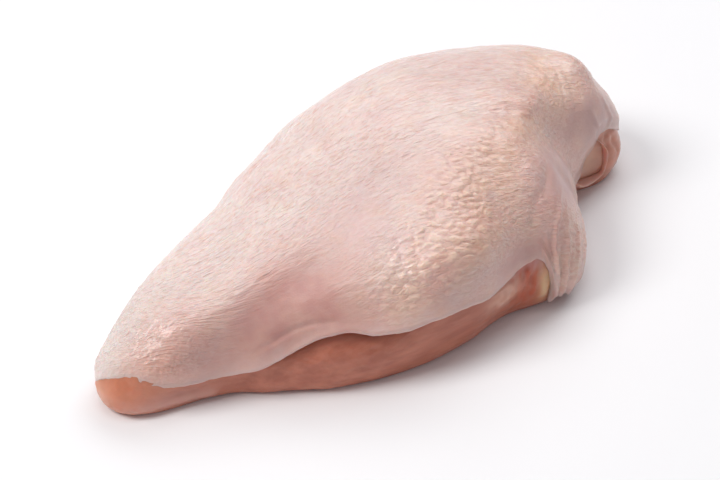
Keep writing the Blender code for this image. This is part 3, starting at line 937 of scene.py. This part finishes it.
def build_neck_rim():
    tree = BVHTree.FromObject(flesh, bpy.context.evaluated_depsgraph_get())
    path = smooth_path(RIM_PATH, RIM_POINTS)
    ways = np.gradient(path, axis=0)
    rows = []
    for k, (edge, way) in enumerate(zip(path, ways)):
        share = k / (RIM_POINTS - 1)
        wander = np.array([noise.noise((share * 7, 1.3, seed)) for seed in (0.4, 5.1, 9.7)])
        edge = edge + RIM_WANDER * wander
        root = np.array(tree.find_nearest(Vector(edge) * MM)[0]) / MM
        stand = edge - root
        reach = np.linalg.norm(stand)
        stand /= reach
        flat = np.cross(way / np.linalg.norm(way), stand)
        taper = min(1.0, 6 * share + 0.15, 6 * (1 - share) + 0.15)
        thin = (RIM_THIN + RIM_THICKER * ease(share, 0.35, 0.7)) * taper
        wide = reach / 2 + 0.5 * thin
        ring = []
        for s in range(SECTION_POINTS):
            angle = -2 * math.pi * s / SECTION_POINTS
            ring.append((edge + root) / 2 + stand * wide * math.cos(angle) + flat * thin * math.sin(angle))
        rows.append(np.array(ring))
    return chain_mesh("neck_rim", rows[0].mean(axis=0), rows, rows[-1].mean(axis=0))


neck_rim = build_neck_rim()
store(neck_rim, "rim", np.ones(len(neck_rim.data.vertices)))
print("neck rim triangles:", triangles_in(neck_rim))

# %% [markdown]
# The wet look comes from three things: light that sinks in and comes out again nearby, a fine relief
# too small for the mesh, and a thin glossy coat. A few helpers keep the node setups short. Patterns
# use the object's own coordinates, turned into millimetres, so they keep their size.

# %% Places and patterns
def new_material(name):
    made = bpy.data.materials.new(name)
    made.use_nodes = True
    tree = made.node_tree
    return made, tree, tree.nodes["Principled BSDF"]


def fill(tree, socket, value):
    """Links another node's output to a socket, or sets the socket to a plain value."""
    if isinstance(value, bpy.types.NodeSocket):
        tree.links.new(value, socket)
    else:
        socket.default_value = value


def node(tree, kind, **inputs):
    """A new node with its inputs filled. An underscore stands for a space in an input's name."""
    made = tree.nodes.new("ShaderNode" + kind)
    for name, value in inputs.items():
        fill(tree, made.inputs[name.replace("_", " ")], value)
    return made


def field(tree, name, output="Fac"):
    made = node(tree, "Attribute")
    made.attribute_name = name
    return made.outputs[output]


def stretched(tree, places, stretch_by):
    return node(tree, "Mapping", Vector=places, Scale=stretch_by).outputs["Vector"]


def speckle(tree, size, detail=3.0, stretch_by=(1, 1, 1), distortion=0.0, places=None):
    """Soft noise with lumps of the given size, in millimetres unless other places are given."""
    if not places:
        places = stretched(tree, node(tree, "TexCoord").outputs["Object"], [s / MM for s in stretch_by])
    made = node(tree, "TexNoise", Vector=places, Scale=1 / size, Detail=detail, Distortion=distortion)
    return made.outputs["Fac"]


# %% [markdown]
# Colours are laid over one another like thin paint. A pattern or a field, spread over a new range,
# says how much of the next colour shows at each place.

# %% Mixing helpers
def spread(tree, value, low, high, new_low=0.0, new_high=1.0):
    made = node(tree, "MapRange", Value=value, From_Min=low, From_Max=high, To_Min=new_low, To_Max=new_high)
    return made.outputs["Result"]


def times(tree, a, b):
    product = node(tree, "Math")
    product.operation = "MULTIPLY"
    fill(tree, product.inputs[0], a)
    fill(tree, product.inputs[1], b)
    return product.outputs["Value"]


def blend_colours(tree, amount, first, second):
    """Mixes two colours, each a colour or another node's output."""
    mix = node(tree, "Mix")
    mix.data_type = "RGBA"
    fill(tree, mix.inputs["Factor"], amount)
    for name, colour in (("A", first), ("B", second)):
        socket = [s for s in mix.inputs if s.name == name and s.type == "RGBA"][0]
        fill(tree, socket, (*colour, 1.0) if isinstance(colour, tuple) else colour)
    return [s for s in mix.outputs if s.type == "RGBA"][0]


def laid_over(tree, colour, layers):
    """Lays colours over the first one: each layer is (field's name or pattern, share, colour)."""
    for where, share, over in layers:
        amount = field(tree, where) if isinstance(where, str) else where
        colour = blend_colours(tree, times(tree, amount, share), colour, over)
    return colour


# %% [markdown]
# The finest relief is made by bump nodes, which only tilt the light and leave the mesh alone. The wet
# finish takes the same few inputs on each material, so one helper fills them.

# %% Fine relief and wet finish
def cushions(tree, places):
    """Cells with sunken borders: 1 on a cell's top and 0 along its border."""
    cells = node(tree, "TexVoronoi", Vector=places, Scale=1.0)
    cells.feature = "DISTANCE_TO_EDGE"
    made = spread(tree, cells.outputs["Distance"], 0.0, 0.3)
    made.node.interpolation_type = "SMOOTHSTEP"
    return made


def relief_nodes(tree, shader, layers):
    """Chains bump nodes: each layer is (height output, depth in mm, strength)."""
    below = {}
    for height, depth, strength in layers:
        bump = node(tree, "Bump", Height=height, Distance=depth * MM, Strength=strength, **below)
        below = {"Normal": bump.outputs["Normal"]}
    fill(tree, shader.inputs["Normal"], below["Normal"])


def wet(shader, scatter, radius, coat, coat_roughness):
    for name, value in (
        ("Subsurface Weight", scatter), ("Subsurface Radius", radius), ("Subsurface Scale", MM),
        ("Coat Weight", coat), ("Coat Roughness", coat_roughness), ("IOR", 1.42),
    ):
        shader.inputs[name].default_value = value


# %% [markdown]
# Skin colour is built up like paint. A cream and a cool pink are clouded together, and paler copies of
# them are painted where the skin faces the key lamp, as painted light. Painted highlights lighten the
# crests of wrinkles and pillows, and a white painted sheen lies on the tip and high on the far side.
# Painted shade darkens the creases, the near flank with its own blush, and the back's shallow valley
# and crown; a greyish veil covers the neck side, and the hem is milky. Each layer is placed by one of
# the fields stored above, or by a pattern.

# %% Skin material
CREAM = (0.82, 0.56, 0.47)
PINK = (0.79, 0.50, 0.44)
# Painted light: paler lit copies of the cream and the pink.
PAINTED_LIT_CREAM = (0.89, 0.735, 0.69)
PAINTED_LIT_PINK = (0.855, 0.66, 0.63)
LILAC_GREY = (0.72, 0.56, 0.55)
# Painted sheen: the white laid on the tip and the far side.
PAINTED_SHEEN_WHITE = (0.97, 0.90, 0.86)
# Painted highlight laid on the wrinkles' crests.
CREST_HIGHLIGHT = (0.93, 0.78, 0.70)
YELLOW_FAT = (0.84, 0.54, 0.38)
# Darker pink used as painted shade in creases and valleys, and in a fine mottle.
CREASE_PINK_SHADE = (0.66, 0.32, 0.24)
# Darker pink of the flank: partly its blush, partly painted shade.
BLUSH_AND_SHADE = (0.53, 0.255, 0.225)
# Cream of the pillows' tops: partly the fat's tone, partly painted highlight.
PILLOW_CREAM_HIGHLIGHT = (0.90, 0.66, 0.50)
MILKY = (0.66, 0.48, 0.45)
# Colour of the greyish veil, also used as painted shade.
VEIL_AND_SHADE = (0.59, 0.38, 0.36)
TIP_PINK = (0.76, 0.41, 0.33)


def skin_material():
    made, tree, shader = new_material("moist_skin")
    clouds = spread(tree, speckle(tree, 13, 4.0), 0.38, 0.62)
    colour = blend_colours(tree, clouds, CREAM, PINK)
    painted_lit_clouds = blend_colours(tree, clouds, PAINTED_LIT_CREAM, PAINTED_LIT_PINK)
    # Painted light: the paler copies go where the skin faces the key lamp.
    colour = blend_colours(tree, field(tree, "painted_light"), colour, painted_lit_clouds)
    along_grain = field(tree, "grain", "Vector")
    streaks = speckle(tree, 0.7, 2.0, distortion=0.5, places=stretched(tree, along_grain, (0.16, 1, 1)))
    wrinkled = field(tree, "wrinkle")
    colour = laid_over(tree, colour, (
        (spread(tree, speckle(tree, 7, 4.0), 0.5, 0.68), 0.4, LILAC_GREY),
        (spread(tree, speckle(tree, 5, 3.0), 0.52, 0.70), 0.25, YELLOW_FAT),
        ("ridge_fat", 0.6, YELLOW_FAT),
        ("tip", 0.8, TIP_PINK),
        # painted sheen on the tip and the far side
        ("painted_sheen", 0.65, PAINTED_SHEEN_WHITE),
        # painted highlight on the wrinkles' crests and painted shade in their valleys, on the same streaks
        # as their bumps
        (times(tree, spread(tree, streaks, 0.5, 0.68), wrinkled), 0.45, CREST_HIGHLIGHT),
        (times(tree, spread(tree, streaks, 0.46, 0.3), wrinkled), 0.4, CREASE_PINK_SHADE),
        (spread(tree, speckle(tree, 1.3, 2.0), 0.42, 0.66), 0.15, CREASE_PINK_SHADE),
        # painted shade in the creases and painted highlight on the pillows' tops
        ("crease_shade", 0.35, CREASE_PINK_SHADE),
        ("crest_highlight", 0.45, PILLOW_CREAM_HIGHLIGHT),
        # blush of the flank, partly painted shade
        ("blush_and_shade", 0.9, BLUSH_AND_SHADE),
        # greyish veil, and painted shade on the back's valley and crown
        ("veil_and_shade", 0.88, VEIL_AND_SHADE),
        ("hem", 0.6, MILKY),
    ))
    fill(tree, shader.inputs["Base Color"], colour)
    fill(tree, shader.inputs["Roughness"], spread(tree, speckle(tree, 4, 2.0), 0.3, 0.7, 0.38, 0.55))
    wrinkle_bumps = times(tree, streaks, wrinkled)
    grain = speckle(tree, 0.5, 2.0)
    cells = cushions(tree, stretched(tree, along_grain, (0.5, 0.8, 0.8)))
    cells = times(tree, cells, field(tree, "pillow"))
    relief_nodes(tree, shader, [(wrinkle_bumps, 0.6, 1.0), (cells, 0.12, 0.8), (grain, 0.08, 0.5)])
    wet(shader, 0.3, (2.4, 0.9, 0.55), 0.6, 0.24)
    return made


skin.data.materials.append(skin_material())
print("nodes in the skin's material:", len(skin.data.materials[0].node_tree.nodes))

# %% [markdown]
# Raw breast flesh is a translucent orange-pink. Long streaks follow the muscle's grain, the tip is
# more orange, and the strip in front of the shoulder is dark red. The neck hollow is painted lighter in
# peach as painted light, and its corner a darker orange as painted shade. More light sinks into the
# flesh than into the skin, and its coat is thinner but smoother. The membrane has the same finish on
# paler colours.

# %% Flesh material
FLESH_LIGHT = (0.58, 0.205, 0.13)
FLESH_DEEP = (0.46, 0.145, 0.09)
TIP_ORANGE_AND_SHADE = (0.74, 0.27, 0.14)
DARK_RED = (0.56, 0.11, 0.045)
FILM = (0.80, 0.48, 0.36)
LILAC = (0.64, 0.37, 0.36)
PEACH_AND_LIGHT = (0.86, 0.56, 0.42)
FAT = (0.84, 0.57, 0.33)
RIM_PALE = (0.70, 0.40, 0.32)
FLESH_LAYERS = (
    ("tip", 0.7, TIP_ORANGE_AND_SHADE), ("peach_and_light", 0.85, PEACH_AND_LIGHT), ("rim", 0.55, RIM_PALE), ("lilac", 0.8, LILAC),
    ("dark_strip", 1.0, DARK_RED), ("film", 0.8, FILM), ("fat", 0.85, FAT),
)


def flesh_material(name, base_mix):
    made, tree, shader = new_material(name)
    streaks = spread(tree, speckle(tree, 3.0, 4.0, (0.16, 1, 1)), 0.35, 0.65)
    colour = blend_colours(tree, streaks, *base_mix)
    colour = laid_over(tree, colour, FLESH_LAYERS)
    fill(tree, shader.inputs["Base Color"], colour)
    fill(tree, shader.inputs["Roughness"], spread(tree, speckle(tree, 5, 2.0), 0.3, 0.7, 0.28, 0.42))
    fibres = speckle(tree, 0.8, 3.0, (0.1, 1, 1), 0.3)
    relief_nodes(tree, shader, [(fibres, 0.12, 0.6)])
    wet(shader, 0.4, (3.2, 0.9, 0.5), 0.25, 0.2)
    return made


flesh.data.materials.append(flesh_material("raw_flesh", (FLESH_LIGHT, FLESH_DEEP)))
neck_rim.data.materials.append(flesh_material("wet_membrane", (MILKY, RIM_PALE)))
print("nodes in the flesh's material:", len(flesh.data.materials[0].node_tree.nodes))

# %% [markdown]
# Each piece rides on the one body and stands for its node, whose imported solid is hidden.

# %% Fit the pieces to the frame
for piece, node, slot in (
    (skin, "breast_skin", "skin"),
    (flesh, "breast_meat", "flesh"),
    (neck_rim, "neck_membrane", "membrane"),
):
    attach(piece, "root")
    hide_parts(node)

# %% [markdown]
# The table is plain white and bright, so it nearly vanishes, and only a soft shadow ties the breast to
# it. Four large round lamps light it softly: the strongest from behind on the left, a weaker one from
# the right, and two faint ones from the back and from above. White surroundings fill the shadows.

# %% Table and light
bpy.ops.mesh.primitive_plane_add(size=6)
table_top = bpy.context.object
table_top.name = "white_table"
table_material, _, table_shader = new_material("white_board")
table_shader.inputs["Base Color"].default_value = (0.93, 0.93, 0.945, 1)
table_shader.inputs["Roughness"].default_value = 0.6
table_top.data.materials.append(table_material)

world = bpy.data.worlds.new("white_room")
bpy.context.scene.world = world
world.use_nodes = True
world.node_tree.nodes["Background"].inputs["Color"].default_value = (1, 0.97, 1, 1)
world.node_tree.nodes["Background"].inputs["Strength"].default_value = 0.3

LAMPS = (
    # name, place, diameter in metres, watts, colour
    ("key", (-0.62, 0.36, 0.88), 0.5, 6.8, (1.0, 0.99, 0.975)),
    ("fill", (0.72, 0.12, 0.88), 0.7, 3.4, (0.985, 0.99, 1.0)),
    ("back", (0.45, 0.6, 0.75), 0.5, 1.1, (1.0, 1.0, 1.0)),
    ("ceiling", (0.0, 0.10, 1.15), 0.6, 2.0, (1.0, 1.0, 1.0)),
)
for name, place, size, watts, colour in LAMPS:
    lamp = bpy.data.lights.new(name, "AREA")
    lamp.shape = "DISK"
    lamp.size = size
    lamp.energy = watts
    lamp.color = colour
    lamp_object = bpy.data.objects.new(name, lamp)
    lamp_object.location = place
    lamp_object.rotation_euler = (-Vector(place)).to_track_quat("-Z", "Y").to_euler()
    bpy.context.scene.collection.objects.link(lamp_object)
bpy.context.scene.view_settings.view_transform = "Standard"
print("lamps:", [name for name, *_ in LAMPS])

# %% [markdown]
# The camera looks down by 40 degrees on the tip's side, through a long lens, so the breast runs from
# the lower left to the upper right of the picture.

# %% Camera
AZIMUTH, ELEVATION = math.radians(-45), math.radians(40)
CAMERA_DISTANCE = 0.5529
LOOK_AT = Vector((-0.0100, -0.0017, 0.0188))
forward = Vector(
    (-math.sin(AZIMUTH) * math.cos(ELEVATION), math.cos(AZIMUTH) * math.cos(ELEVATION), -math.sin(ELEVATION))
)
camera = bpy.data.objects.new("camera", bpy.data.cameras.new("camera"))
camera.data.lens = 100
camera.data.sensor_width = 36
camera.location = LOOK_AT - forward * CAMERA_DISTANCE
camera.rotation_euler = forward.to_track_quat("-Z", "Y").to_euler()
bpy.context.scene.collection.objects.link(camera)
bpy.context.scene.camera = camera
print("camera at", [round(v, 3) for v in camera.location])
